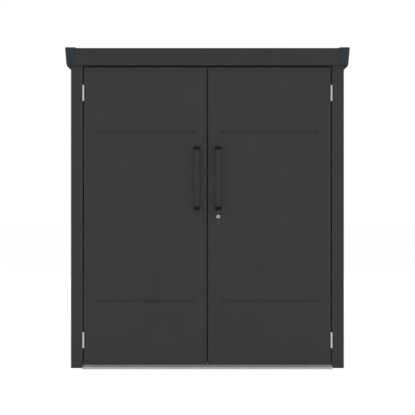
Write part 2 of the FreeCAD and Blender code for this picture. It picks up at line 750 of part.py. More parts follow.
def lock_cam():
    """Two-armed driver on the plug's square, with a pin in each arm."""
    tilt = math.radians(-CRANK_ANGLE)
    reach = CRANK_R + CAM_HALF_W
    points = []
    for u, v in ((-reach, -CAM_HALF_W), (reach, -CAM_HALF_W), (reach, CAM_HALF_W), (-reach, CAM_HALF_W)):
        points.append((LOCK_X + u * math.cos(tilt) - v * math.sin(tilt),
                       LOCK_Z + u * math.sin(tilt) + v * math.cos(tilt)))
    cam = prism(points, [CAM_HALF_W] * 4, "y", CAM_FRONT, CAM_BACK)
    half = SHANK / 2
    cam = cam.cut(block(LOCK_X - half, LOCK_X + half, CAM_FRONT, CAM_BACK, LOCK_Z - half, LOCK_Z + half))
    for side in (-1, 1):
        x, z = crank_pin(side)
        start = CAM_BACK - OVERCUT
        cam = cam.fuse(rod(CRANK_PIN_R, V(x, start, z), "y", CRANK_PIN_END - start))
    return cam


def lock_rod(side):
    """Lock rod, side +1 up and -1 down: round bar with a flat paddle, whose slot takes the crank pin."""
    x = LOCK_X + side * ROD_OFFSET
    pin_z = crank_pin(side)[1]
    start = LOCK_Z + side * ROD_START
    end = LEAF_TOP - ROD_INSIDE if side > 0 else LEAF_FOOT + ROD_INSIDE
    bar = rod(ROD_R, V(x, ROD_Y, min(start, end)), "z", abs(end - start))
    x0, x1 = sorted((LOCK_X + side * PADDLE_NEAR, LOCK_X + side * PADDLE_FAR))
    z0, z1 = sorted((pin_z - side * PADDLE_PAST_PIN, start + side * PADDLE_ON_ROD))
    paddle = prism([(x0, z0), (x1, z0), (x1, z1), (x0, z1)], [PADDLE_CORNER] * 4, "y",
                   ROD_Y - PADDLE_HALF, ROD_Y + PADDLE_HALF)
    x0, x1 = sorted((LOCK_X + side * PIN_SLOT_NEAR, LOCK_X + side * PIN_SLOT_FAR))
    z0 = pin_z - PIN_SLOT_HALF
    z1 = pin_z + PIN_SLOT_HALF
    slot = prism([(x0, z0), (x1, z0), (x1, z1), (x0, z1)], [PIN_SLOT_CORNER] * 4, "y",
                 ROD_Y - ROD_R, ROD_Y + ROD_R)
    return bar.fuse(paddle).cut(slot)


def rod_guide(x, top):
    """Angle bracket on the stile with a bored, round-ended arm that guides a rod."""
    path = [(WEB, top - GUIDE_HEIGHT), (WEB, top), (WEB + GUIDE_REACH, top)]
    bracket = folded(path, HEADER_SHEET, "x", x - GUIDE_HALF_W, x + GUIDE_HALF_W)
    plan = [(x - GUIDE_HALF_W, WEB), (x + GUIDE_HALF_W, WEB),
            (x + GUIDE_HALF_W, WEB + GUIDE_REACH), (x - GUIDE_HALF_W, WEB + GUIDE_REACH)]
    bracket = bracket.common(prism(plan, [0, 0, GUIDE_CORNER, GUIDE_CORNER], "z", top - GUIDE_HEIGHT, top))
    under = top - HEADER_SHEET - OVERCUT
    return bracket.cut(rod(ROD_R + ROD_FIT, V(x, ROD_Y, under), "z", HEADER_SHEET + 2 * OVERCUT))


def leaf_bolt(low, high, knob_z):
    """Bolt of the left leaf, built on the right: round bar with a knob to the inside."""
    bar = rod(ROD_R, V(LOCK_X, ROD_Y, low), "z", high - low)
    neck = rod(KNOB_NECK_R, V(LOCK_X, ROD_Y, knob_z), "y", LEAF_BACK - KNOB - ROD_Y)
    knob = rod(KNOB_R, V(LOCK_X, LEAF_BACK - KNOB, knob_z), "y", KNOB)
    return bar.fuse([neck, knob])


# Seals


def door_frame_seals():
    """Flat seals on the stop flanges of both posts and on the top door stop."""
    face = STOP - SEAL
    x = STOP_EDGE + SEAL_INSET
    z = TOP_STOP_FOOT + SEAL_INSET
    post = block(x, x + SEAL_WIDTH, face, STOP, FLOOR_TOP, TOP_STOP_FOOT)
    top = block(-STOP_EDGE, STOP_EDGE, face, STOP, z, z + SEAL_WIDTH)
    return [post, mirrored(post), top]


def meeting_seal():
    """Lip seal on the free edge of the right leaf, across the gap between the leaves."""
    points = [(LEAF_IN, LIP_ROOT[0]), (LEAF_IN, LIP_ROOT[1]), (LEAF_IN - LIP_BACK, LIP_ROOT[1]),
              (-LIP_REACH, LIP_EDGE[1]), (-LIP_REACH, LIP_EDGE[0])]
    return prism(points, [0, 0, 0, 1, 1], "z", LEAF_FOOT + LIP_END, LEAF_TOP - LIP_END)


# Assembly


def base_parts():
    """Sill, ground rails and floor."""
    parts = {
        "threshold_sill": threshold_sill(),
        "ground_rail_left": side_ground_rail(-90),
        "ground_rail_right": side_ground_rail(90),
        "ground_rail_back": turned(ground_rail(BODY_HALF_D, BODY_HALF_W - RAIL_FOOT), 180),
    }
    start = SILL_BACK
    third = (BODY_HALF_D - RAIL_FOOT - start) / 3
    for i, name in enumerate(("front", "middle", "rear")):
        parts["floor_panel_" + name] = floor_panel(start + third * i, start + third * (i + 1))
    return parts


def wall_parts():
    """Posts, wall panels and the bolts through their flanges, and the header, stops and seals."""
    bolts, shanks = wall_bolts()
    parts = {
        "front_post_right": front_post(),
        "front_post_left": mirrored(front_post()),
        "rear_post_right": rear_post(),
        "rear_post_left": mirrored(rear_post()),
    }
    side = BODY_HALF_D - POST_SIDE
    third = 2 * side / 3
    for i, name in enumerate(("front", "middle", "rear")):
        panel = wall_panel(third * i - side, third * (i + 1) - side, BODY_HALF_W)
        parts["right_wall_panel_" + name] = turned(panel, 90)
        parts["left_wall_panel_" + name] = mirrored(turned(panel, 90))
    back = BODY_HALF_W - POST_SIDE
    parts["back_wall_panel_left"] = turned(wall_panel(0, back, BODY_HALF_D), 180)
    parts["back_wall_panel_right"] = turned(wall_panel(-back, 0, BODY_HALF_D), 180)
    parts = {name: shape.cut(shanks) for name, shape in parts.items()}
    parts["wall_bolts"] = bolts
    parts["door_header"] = door_header()
    stops = [door_stop(SILL_TOP, FOOT_STOP_TOP), door_stop(TOP_STOP_FOOT, STRIKE_PLATE)]
    parts["door_stops"] = Part.makeCompound(stops)
    parts["door_frame_seals"] = Part.makeCompound(door_frame_seals())
    return parts


def roof_parts():
    """Rails, caps, panels and beams."""
    front_right = roof_cap()
    front_left = mirrored(front_right)
    parts = {
        "roof_rail_front": roof_rail(BODY_HALF_D, BODY_HALF_W, FASCIA_FOOT, FASCIA_FOOT),
        "roof_rail_back": turned(roof_rail(BODY_HALF_D, BODY_HALF_W, SIDE_FASCIA_FOOT, SOFFIT_FOOT), 180),
        "roof_rail_left": mirrored(side_roof_rail()),
        "roof_rail_right": side_roof_rail(),
        "roof_cap_front_right": front_right,
        "roof_cap_front_left": front_left,
        "roof_cap_back_left": turned(front_right, 180),
        "roof_cap_back_right": turned(front_left, 180),
    }
    third = 2 * DECK_HALF_D / 3
    for i, name in enumerate(("front", "middle", "rear")):
        low = third * i - DECK_HALF_D
        parts["roof_panel_" + name] = roof_panel(low, low + third, name != "rear")
    parts["roof_beams"] = Part.makeCompound([roof_beam(-third / 2), roof_beam(third / 2)])
    return parts


def hinge_parts():
    """Fixed hinge halves and pins of both sides."""
    fixed = frame_hinges()
    pins = hinge_pins()
    return {
        "hinge_frame_leaves": Part.makeCompound(fixed + [mirrored(half) for half in fixed]),
        "hinge_pins": Part.makeCompound(pins + [mirrored(pin) for pin in pins]),
    }


def leaf_parts():
    """What both leaves have: stile, cross rail, handle, screws and moving hinge halves."""
    parts = {
        "door_cross_rail": cross_rail(),
        "door_handle": handle(),
        "door_handle_screws": Part.makeCompound(handle_screws()),
        "hinge_door_leaves": Part.makeCompound(leaf_hinges()),
    }
    both = {"right_" + name: shape for name, shape in parts.items()}
    both.update({"left_" + name: mirrored(shape) for name, shape in parts.items()})
    return both


def left_leaf_parts():
    """Left leaf with its stile, top and bottom bolts and their guides."""
    guides = [rod_guide(LOCK_X, top) for top in (TOP_GUIDE, *BOLT_GUIDES, FOOT_GUIDE)]
    return {
        "left_door_skin": mirrored(leaf_skin(LOCK_X, LOCK_X)),
        "left_door_stile": mirrored(stile()),
        "left_door_bolt_guides": mirrored(Part.makeCompound(guides)),
        "left_door_top_bolt": mirrored(leaf_bolt(TOP_BOLT_FOOT, LEAF_TOP - ROD_INSIDE, TOP_KNOB)),
        "left_door_bottom_bolt": mirrored(leaf_bolt(LEAF_FOOT + ROD_INSIDE, FOOT_BOLT_TOP, FOOT_KNOB)),
    }


def right_leaf_parts():
    """Right leaf with its stile, lock, rods, guides and meeting seal."""
    top_x = LOCK_X + ROD_OFFSET
    foot_x = LOCK_X - ROD_OFFSET
    guides = [rod_guide(top_x, top) for top in (TOP_GUIDE, LOCK_GUIDES[0])]
    guides += [rod_guide(foot_x, top) for top in (LOCK_GUIDES[1], FOOT_GUIDE)]
    return {
        "right_door_skin": leaf_skin(top_x, foot_x).cut(lock_hole()),
        "right_door_stile": stile().cut(lock_hole()),
        "lock_rod_guides": Part.makeCompound(guides),
        "lock_barrel": lock_barrel(),
        "lock_nut": lock_nut(),
        "lock_plug": lock_plug(),
        "lock_cam": lock_cam(),
        "lock_rod_top": lock_rod(1),
        "lock_rod_bottom": lock_rod(-1),
        "meeting_seal": meeting_seal(),
    }


def save(parts):
    """Write each node to its own file and stop if one isn't sound."""
    os.makedirs("parts", exist_ok=True)
    for name, shape in sorted(parts.items()):
        if not shape.isValid() or not shape.Solids:
            raise ValueError(name + " is not a sound solid")
        shape.exportStep("parts/" + name + ".step")
        print(name, len(shape.Solids), round(shape.Volume))
    print(len(parts), "nodes")


sections = [base_parts(), wall_parts(), roof_parts(), hinge_parts()]
sections += [leaf_parts(), left_leaf_parts(), right_leaf_parts()]
save({name: shape for section in sections for name, shape in section.items()})
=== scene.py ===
"""Looks of a two-door bicycle locker of folded, powder-coated steel.

Named sizes and grids of points are millimetres, and piece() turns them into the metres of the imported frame:
+X to the right of someone facing the doors, +Y to the back, +Z up, with the ground at z = 0. The places and
sizes of the lamps are metres.
"""
import json

import bmesh
import bpy
import numpy as np
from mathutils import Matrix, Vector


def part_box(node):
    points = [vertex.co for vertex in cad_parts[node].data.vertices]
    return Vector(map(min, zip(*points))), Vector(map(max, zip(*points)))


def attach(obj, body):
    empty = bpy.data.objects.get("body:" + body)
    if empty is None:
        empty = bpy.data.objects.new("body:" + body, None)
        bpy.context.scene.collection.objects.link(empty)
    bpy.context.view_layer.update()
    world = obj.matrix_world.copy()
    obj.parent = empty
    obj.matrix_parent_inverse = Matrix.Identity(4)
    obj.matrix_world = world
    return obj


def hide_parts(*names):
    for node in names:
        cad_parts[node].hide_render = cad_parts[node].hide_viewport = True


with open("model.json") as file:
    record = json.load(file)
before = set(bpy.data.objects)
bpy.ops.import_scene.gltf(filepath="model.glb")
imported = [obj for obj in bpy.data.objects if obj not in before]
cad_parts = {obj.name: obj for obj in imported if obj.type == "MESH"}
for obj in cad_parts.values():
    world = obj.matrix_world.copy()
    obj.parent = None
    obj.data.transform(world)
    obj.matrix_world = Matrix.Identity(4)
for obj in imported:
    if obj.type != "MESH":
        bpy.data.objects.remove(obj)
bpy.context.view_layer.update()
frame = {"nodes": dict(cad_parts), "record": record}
nodes = frame["nodes"]
MM = 0.001


def span(node):
    """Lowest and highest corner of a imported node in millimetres."""
    return [np.array(corner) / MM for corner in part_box(node)]


# Steel of leaves and posts, and the planes of the front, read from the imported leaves, stops, sill and header
SHEET = 1.5
FRONT = span("right_door_skin")[0][1]
STILE_FACE = FRONT + 2 * SHEET
STOP = span("door_stops")[0][1]
STOP_HALF = span("door_stops")[1][0]
SILL_TOP = span("threshold_sill")[1][2]
DOORWAY_HALF = span("door_header")[1][0]

# Level camera in front of the middle of the doors, and the width that it sees in their plane
CAMERA_X = 0.4
CAMERA_DISTANCE = 6500.0
CAMERA_HEIGHT = 727.0
SENSOR = 36.0
SEEN_WIDTH = 1878.7

# Background and floor. The floor glows at FLOOR_LEVEL, by FLOOR_SHARE where the air above it is open, and
# less the more the locker covers it
WORLD_LEVEL = 0.4
FLOOR = "#C8C8C8"
FLOOR_HALF = 60000.0
FLOOR_LEVEL = 1.18
FLOOR_SHARE = 0.8
COVER_REACH = 2000.0
COVER_OPEN = 0.2
COVER_SHUT = 0.02

# Lamps: name, place, width and height in metres, and power in watts. All look at the middle of the locker
AIM = (0.0, 0.0, 0.75)
LAMPS = (
    ("front_softbox", (0.0, -13.0, 1.0), 3.0, 3.0, 880.0),
    ("left_softbox", (-6.5, 1.0, 2.5), 3.0, 3.0, 150.0),
    ("right_softbox", (6.5, 1.0, 2.5), 3.0, 3.0, 150.0),
    ("back_softbox", (0.0, 7.5, 2.5), 3.0, 3.0, 170.0),
)

# Patterns in the finishes, by the size of one blob, crystal or pit. LINE_SLENDER is how wide the lines of a
# drawn metal are, as a share of their length
SPRAY_CLOUD = 140.0
ORANGE_PEEL = 9.0
PEEL_OVER_PEBBLES = 1.5
FLOW_CLOUD = 14.0
METAL_CLOUD = 45.0
LINE_SLENDER = 0.02
ZINC_CRYSTAL = 14.0
ZINC_GRAIN = 3.0
RUBBER_BLOOM = 22.0
RUBBER_PIT = 0.9
FINE_DEPTH = 0.02

# Painted shade in the pressed recesses of the sheets: how wide a recess takes it, how open the air still is
# where the shade is darkest, and how much of the coat's colour it replaces there
RECESS_SHADE_REACH = 12.0
RECESS_SHADE_OPEN = 0.85
RECESS_SHADE_SHARE = 0.45
RECESS_SHADE_COLOUR = "#141414"

# Bow handles: a crowned bar between two moulded end shoes. A higher power makes a section squarer
BAR_THICK = 8.0
BAR_BEND = 10.5
BAR_POWER = 2.8
BAR_SHRINK = 0.96
SHOE_POWER = 3.0
SHOE_RIM = 0.6
HANDLE_SIDES = 48
LEG_POINTS = 5
BEND_POINTS = 13
BAR_POINTS = 3

# Sides of turned shapes, and points on a quarter turn of their rounded edges
FASTENER_SIDES = 24
WELD_SIDES = 20
KNOB_SIDES = 96
HEX_SIDES = 12
DOME_POINTS = 8
KNOB_EDGE_POINTS = 5
CAP_EDGE_POINTS = 6

# Handle screws: shoulder is one point (radius, height) on the rounded edge of the head
SCREW_SHANK_R = 2.5
SCREW_GRIP = 12.0
SCREW_HEAD_R = 4.5
SCREW_HEAD = 3.5
SCREW_RIM = 1.5
SCREW_SHOULDER = (3.9, 2.8)
SCREW_CROWN_R = 2.7
SOCKET_R = 1.6
SOCKET_DEPTH = 1.8
SOCKET_POINT = 0.4

# Hinges: knuckles on the line of the pins, and the screws of the plates
HINGE_X = 561.25
HINGE_HEIGHT = 70.3
KNUCKLE_R = 4.75
KNUCKLE_RIM = 0.5
KNUCKLE_CROWN = 1.0
PLATE_GAP = 0.25
PLATE_SCREW_R = 3.3
PLATE_SCREW_RISE = 0.18
PLATE_SCREW_HEIGHTS = (10.0, 35.0, 60.0)
PLATE_SCREW_Y = 13.0

# Lock: dust shutter behind the mouth of the key slot, nearly black as painted shade for the depth of the slot
SHUTTER_DEPTH = 2.4
SHUTTER = 1.2
KEY_HALF_W = 0.86
KEY_HALF_H = 3.1
KEY_POWER = 12.0

# Guides of rods and bolts, riveted to the stiles: heights of their arms, and the flanged bushes in the arms
GUIDE_TOPS = {"left_door": (1330.0, 1170.0, 232.0, 70.0), "right_door": (1330.0, 780.0, 600.0, 70.0)}
GUIDE_HALF_W = 11.0
GUIDE_ARM = 2.0
GUIDE_FACE = STILE_FACE + GUIDE_ARM
ROD_DEPTH = 17.0
RIVET_R = 2.5
RIVET_RIM = 0.2
RIVET_RISE = 1.1
RIVET_SPREAD = 6.5
RIVET_DROP = 11.0
BUSH_BORE = 5.15
BUSH_R = 7.6
BUSH_RIM = 1.3
BUSH_SEAT_EDGE = 0.3
BUSH_EDGE = 0.4

# Knobs of the left leaf's bolts
KNOB_HEIGHTS = {"top_bolt": 1240.0, "bottom_bolt": 150.0}
KNOB_R = 7.8
KNOB = 6.0
KNOB_EDGE = 1.5
KNOB_LIP = 0.3
KNOB_INSERT_R = 4.8
KNOB_INSERT_SINK = 1.0
KNOB_RIPPLE = 0.035
KNOB_FLUTES = 12

# Spot welds of stiles and cross rails. The ends are the room left free before the first and after the last
WELD_R = 3.2
WELD_RISE = 0.14
WELD_RIM = 0.02
WELD_ROOT = 0.1
STILE_WELDS = (30.0, 78.0)
STILE_WELD_STEP = 98.0
STILE_WELD_ENDS = (40.0, 20.0)
RAIL_WELD_STEP = 110.0
RAIL_WELD_ENDS = (30.0, 10.0)
RAIL_WELD_EDGE = 10.0

# Ribbed seal of the door frame
SEAL_WIDTH = 10.0
SEAL_RIBS = 3
SEAL_BASE = 0.55
SEAL_POINTS = 31

# Aluminium edges of the sill: an angle over the foot stop, and a rain bar in front of the leaves
EDGE_THICK = 0.9
EDGE_TOP = 25.9
EDGE_LIFT = 0.1
EDGE_PLAY = 0.05
EDGE_END = 1.0
RAIN_BAR = 1.2
RAIN_BAR_ROOT = 1.0
RAIN_BAR_DEPTH = 4.0
RAIN_BAR_PLAY = 0.5
RAIN_BAR_BEVEL = 0.5
RAIN_BAR_END = 3.0

# Foot plates in the rear posts, cut out round the posts' lips
POST_LIP = 22.0
FOOT_PLATE = 2.4
FOOT_PLAY = 0.3
FOOT_TAB = 38.0
FOOT_TAB_LIFT = 0.1
FOOT_WELD = 0.2

# Roof caps: shell over the corner of the rail
CAP_WALL = 2.9
CAP_LEAN = 6.0 / 78.0
CAP_CORNER = 9.0
CAP_LID = 3.0
CAP_LAP = 0.2
CAP_EDGE = 1.8

# Roof screws on both sides of each panel joint. Edge points are (radius, height) round the washer's rim
SEAM_HEIGHT = 21.0
ROOF_SCREW_PLACES = (-520.0, -260.0, 0.0, 260.0, 520.0)
ROOF_SCREW_BESIDE = (-12.0, 14.0)
WASHER = 1.6
WASHER_EDGE = ((6.6, 0.0), (7.0, 0.5), (6.8, 1.0))
WASHER_SEAT_R = 5.0
HEX_R = 4.0
HEX_FOOT = 1.4
HEX_TOP = 5.1
HEX_EDGE = 0.5


# Materials. Each has two tones, a colour and its cloud, and a roughness that varies from smooth to rough

# Kinds of shader nodes that most finishes use, and the range that nearly all values of a noise lie in
NOISE = "ShaderNodeTexNoise"
RANGE = "ShaderNodeMapRange"
MIX = "ShaderNodeMixRGB"
BUMP = "ShaderNodeBump"
PRINCIPLED = "ShaderNodeBsdfPrincipled"
SURFACE = "ShaderNodeOutputMaterial"
NOISE_SPAN = {"From Min": 0.3, "From Max": 0.7}


def linear(colour):
    """sRGB hex text as linear red, green, blue and full alpha."""
    channels = [int(colour[i:i + 2], 16) / 255 for i in (1, 3, 5)]
    return [c / 12.92 if c <= 0.04045 else ((c + 0.055) / 1.055) ** 2.4 for c in channels] + [1.0]


def add(tree, kind, sockets=None, **settings):
    """Add a node with its settings.

    Sockets maps an input's name to a value, to the output that feeds it, or to a node, for its first output.
    """
    node = tree.nodes.new(kind)
    for name, value in settings.items():
        setattr(node, name, value)
    for name, value in (sockets or {}).items():
        if isinstance(value, bpy.types.Node):
            value = value.outputs[0]
        if isinstance(value, bpy.types.NodeSocket):
            tree.links.new(value, node.inputs[name])
        else:
            node.inputs[name].default_value = value
    return node


def new_material(name):
    """A material with an empty node tree, and its place coordinates in metres."""
    material = bpy.data.materials.new(name)
    material.use_nodes = True
    tree = material.node_tree
    tree.nodes.clear()
    place = add(tree, "ShaderNodeTexCoord").outputs["Object"]
    return material, tree, place


def powder_coat(name, colour, cloud, smooth, rough, grain=1.6, depth=0.035, gloss=0.15, shaded_recesses=False):
    """Polyester powder coat baked on steel: a matt, finely pebbled film, a touch uneven from spray to spray.

    The pebbles of the real coat are about 0.3 mm wide and are drawn coarser, so that they show. Under them
    lies the long orange peel of a film that flowed a little before it set. With shaded recesses, painted shade
    darkens the coat where pressed recesses close in the air above it.
    """
    material, tree, place = new_material(name)
    clouds = add(tree, NOISE, {"Vector": place, "Scale": 1 / (SPRAY_CLOUD * MM), "Detail": 3.0})
    pebbles = add(tree, NOISE, {"Vector": place, "Scale": 1 / (grain * MM), "Detail": 1.0})
    ripples = add(tree, NOISE, {"Vector": place, "Scale": 1 / (ORANGE_PEEL * MM), "Detail": 1.0})
    peel = add(tree, BUMP, {"Height": ripples, "Distance": PEEL_OVER_PEBBLES * depth * MM})
    cloudy = add(tree, RANGE, {"Value": clouds, **NOISE_SPAN})
    film = add(tree, MIX, {"Fac": cloudy, "Color1": linear(colour), "Color2": linear(cloud)})
    if shaded_recesses:
        # Painted shade: the coat darkens in pressed recesses, the more so the less open ambient occlusion
        # finds the air
        reach = {"Distance": RECESS_SHADE_REACH * MM}
        open_air = add(tree, "ShaderNodeAmbientOcclusion", reach, samples=8, only_local=True).outputs["AO"]
        recess_shade_range = {"Value": open_air, "From Min": RECESS_SHADE_OPEN, "To Min": RECESS_SHADE_SHARE, "To Max": 0.0}
        film = add(tree, MIX, {"Fac": add(tree, RANGE, recess_shade_range), "Color1": film, "Color2": linear(RECESS_SHADE_COLOUR)})
    shader = add(tree, PRINCIPLED, {
        "Base Color": film,
        "Roughness": add(tree, RANGE, {"Value": pebbles, **NOISE_SPAN, "To Min": smooth, "To Max": rough}),
        "Specular IOR Level": gloss,
        "Normal": add(tree, BUMP, {"Height": pebbles, "Distance": depth * MM, "Normal": peel}),
    })
    add(tree, SURFACE, {"Surface": shader})
    return material


def moulded(name, colour, cloud, smooth, rough, grain=0.8, depth=0.03, gloss=0.25):
    """Injection-moulded plastic: an even colour under a spark-eroded grain.

    The real grain is about 0.2 mm wide and is drawn coarser, so that it shows.
    """
    material, tree, place = new_material(name)
    grains = add(tree, NOISE, {"Vector": place, "Scale": 1 / (grain * MM), "Roughness": 0.6})
    clouds = add(tree, NOISE, {"Vector": place, "Scale": 1 / (FLOW_CLOUD * MM)})
    cloudy = add(tree, RANGE, {"Value": clouds, **NOISE_SPAN})
    shader = add(tree, PRINCIPLED, {
        "Base Color": add(tree, MIX, {"Fac": cloudy, "Color1": linear(colour), "Color2": linear(cloud)}),
        "Roughness": add(tree, RANGE, {"Value": grains, **NOISE_SPAN, "To Min": smooth, "To Max": rough}),
        "Specular IOR Level": gloss,
        "Normal": add(tree, BUMP, {"Height": grains, "Distance": depth * MM}),
    })
    add(tree, SURFACE, {"Surface": shader})
    return material


def drawn_metal(name, colour, cloud, smooth, rough, along, line=0.6, depth=0.006, bare=1.0):
    """Metal with fine lines along one axis, from the die, the rolls or the grinding belt.

    The real lines are under 0.1 mm wide and are drawn coarser, so that they show. Bare below 1 stands for a
    skin of oxide or plating haze, which scatters part of the light.
    """
    material, tree, place = new_material(name)
    scale = [1.0, 1.0, 1.0]
    scale["xyz".index(along)] = LINE_SLENDER
    slender = add(tree, "ShaderNodeMapping", {"Vector": place, "Scale": scale})
    lines = add(tree, NOISE, {"Vector": slender, "Scale": 1 / (line * MM), "Detail": 3.0, "Roughness": 0.65})
    clouds = add(tree, NOISE, {"Vector": place, "Scale": 1 / (METAL_CLOUD * MM), "Detail": 3.0})
    cloudy = add(tree, RANGE, {"Value": clouds, **NOISE_SPAN})
    shader = add(tree, PRINCIPLED, {
        "Base Color": add(tree, MIX, {"Fac": cloudy, "Color1": linear(colour), "Color2": linear(cloud)}),
        "Metallic": bare,
        "Roughness": add(tree, RANGE, {"Value": lines, **NOISE_SPAN, "To Min": smooth, "To Max": rough}),
        "Normal": add(tree, BUMP, {"Height": lines, "Distance": depth * MM}),
    })
    add(tree, SURFACE, {"Surface": shader})
    return material


def galvanised(name, colour, cloud, smooth, rough, bare=0.8):
    """Hot-dip zinc on steel: dull crystals about 14 mm wide, each with its own grey and its own gloss.

    Bare below 1 stands for the white skin that zinc grows in the open air.
    """
    material, tree, place = new_material(name)
    crystals = add(tree, "ShaderNodeTexVoronoi", {"Vector": place, "Scale": 1 / (ZINC_CRYSTAL * MM)})
    shade = add(tree, "ShaderNodeSeparateColor", {"Color": crystals.outputs["Color"]})
    grain = add(tree, NOISE, {"Vector": place, "Scale": 1 / (ZINC_GRAIN * MM)})
    shader = add(tree, PRINCIPLED, {
        "Base Color": add(tree, MIX, {"Fac": shade, "Color1": linear(colour), "Color2": linear(cloud)}),
        "Metallic": bare,
        "Roughness": add(tree, RANGE, {"Value": shade, "To Min": smooth, "To Max": rough}),
        "Normal": add(tree, BUMP, {"Height": grain, "Distance": FINE_DEPTH * MM}),
    })
    add(tree, SURFACE, {"Surface": shader})
    return material


def black_rubber(name, colour, cloud, smooth, rough, gloss=0.25):
    """Extruded EPDM: black and matt, finely pitted, with a little bloom.

    The real pits are about 0.1 mm wide and are drawn coarser, so that they show.
    """
    material, tree, place = new_material(name)
    bloom = add(tree, NOISE, {"Vector": place, "Scale": 1 / (RUBBER_BLOOM * MM), "Detail": 4.0})
    pits = add(tree, NOISE, {"Vector": place, "Scale": 1 / (RUBBER_PIT * MM)})
    cloudy = add(tree, RANGE, {"Value": bloom, **NOISE_SPAN})
    shader = add(tree, PRINCIPLED, {
        "Base Color": add(tree, MIX, {"Fac": cloudy, "Color1": linear(colour), "Color2": linear(cloud)}),
        "Roughness": add(tree, RANGE, {"Value": bloom, **NOISE_SPAN, "To Min": smooth, "To Max": rough}),
        "Specular IOR Level": gloss,
        "Normal": add(tree, BUMP, {"Height": pits, "Distance": FINE_DEPTH * MM}),
    })
    add(tree, SURFACE, {"Surface": shader})
    return material


# Finish of each material slot in the record, and of small pieces that the record doesn't know
finishes = {
    # Film on posts, header, stops and stiles: anthracite and matt
    "anthracite_powder_coat": powder_coat("polyester_powder_coat", "#383838", "#3B3B3B", 0.57, 0.67),
    # The same film on the beaded sheets of leaves and walls, with painted shade that draws the beads darker
    "beaded_sheet_coat": powder_coat("beaded_powder_coat", "#383838", "#3B3B3B", 0.57, 0.67, shaded_recesses=True),
    # Film on the roof's rails, panels and beams: a shade darker and duller than the walls
    "roof_powder_coat": powder_coat("roof_powder_coat", "#363636", "#393939", 0.59, 0.69),
    # Film on the handle bars: smoother, with a satin shine
    "handle_powder_coat": powder_coat("satin_powder_coat", "#343434", "#363636", 0.45, 0.55, 1.0, 0.015),
    # ASA of the roof caps: blue-grey and even, low in gloss
    "cap_moulding": moulded("moulded_asa", "#2C3439", "#303A3F", 0.49, 0.61, gloss=0.15),
    # Rolled aluminium of sill and floor: dulled by oxide, with lines along the sill
    "mill_aluminium": drawn_metal("mill_aluminium", "#AFAFAF", "#B7B7B7", 0.47, 0.63, "x", bare=0.3),
    # Dipped zinc of ground rails, foot plates and washers: a dull grey mosaic
    "galvanised_steel": galvanised("hot_dip_zinc", "#8A8E90", "#A2A6A8", 0.42, 0.56),
    # Bright zinc of screws, rods, bolts and guides: a faintly warm grey with soft highlights
    "zinc_plated_steel": drawn_metal("bright_zinc_plate", "#A5A6A2", "#AFAFA8", 0.24, 0.4, "z"),
    # Drawn stainless steel of the hinges: bright, with fine upright lines
    "stainless_hinge": drawn_metal("drawn_stainless", "#C2C2C2", "#CACACA", 0.24, 0.4, "z"),
    # Chrome of the lock's barrel: the shiniest metal on the locker
    "lock_chrome": drawn_metal("satin_chrome", "#C0C0C0", "#C6C6C6", 0.16, 0.32, "z"),
    # Nickel of the lock's plug: darker than the ring round it
    "lock_plug": drawn_metal("satin_nickel", "#828280", "#8A8A88", 0.22, 0.38, "z"),
    # EPDM of the seals: black and dull
    "seal_rubber": black_rubber("epdm_rubber", "#222222", "#2C2C2C", 0.7, 0.82),
    # Handles' shoes: a nearly black moulded finish, which makes both ends of each handle darker than its bar
    "handle_shoe": moulded("moulded_nylon", "#111111", "#151515", 0.39, 0.51, gloss=0.1),
    # Nylon of bushes and knob grips: black with a little more gloss
    "black_nylon": moulded("moulded_black_nylon", "#141414", "#1A1A1A", 0.44, 0.56),
    # Blued steel of the dust shutter: almost black, with a dull shine. Its dark colour is painted shade for
    # the depth of the key slot
    "blued_slot_shade": drawn_metal("blued_slot_shade", "#141416", "#1A1A1C", 0.37, 0.53, "z", bare=0.5),
}


def dress_nodes():
    """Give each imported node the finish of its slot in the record. Beaded sheets and the plug have others."""
    for row in frame["record"]["subparts"]:
        finish = row["material_slot"]
        if "skin" in row["node"] or "wall_panel" in row["node"]:
            finish = "beaded_sheet_coat"
        elif row["node"] == "lock_plug":
            finish = "lock_plug"
        for place in nodes[row["node"]].material_slots:
            place.material = finishes[finish]


# Surfaces


def outline(half_width, half_height, power, sides=32):
    """Rounded rectangle |u/a|^n + |v/b|^n = 1.

    u = a cos t and v = b sin t, with the cosine and the sine to the power 2/n and their signs kept.
    """
    turn = np.linspace(0, 2 * np.pi, sides, endpoint=False) + np.pi / sides
    across, up = np.cos(turn), np.sin(turn)
    return np.stack([half_width * np.sign(across) * np.abs(across) ** (2 / power),
                     half_height * np.sign(up) * np.abs(up) ** (2 / power)], -1)


def arc(centre, radius, start, end, steps):
    """Points at even angles, in degrees, on a circle in a plane: centre + radius (cos t, sin t)."""
    turn = np.radians(np.linspace(start, end, steps))
    return np.array(centre) + radius * np.stack([np.cos(turn), np.sin(turn)], -1)


def carried(section, line, x, size):
    """Section (u, v) carried along a line in (y, z) at one x, with a size at each point of the line.

    Each point is the line's point + size times (u along x + v along the line's normal).
    """
    step = np.gradient(line, axis=0)
    step /= np.linalg.norm(step, axis=1, keepdims=True)
    normal = np.stack([step[:, 1], -step[:, 0]], -1)
    across = x + section[None, :, 0] * size[:, None]
    place = line[:, None, :] + section[None, :, 1, None] * size[:, None, None] * normal[:, None, :]
    return np.concatenate([across[..., None], place], -1)


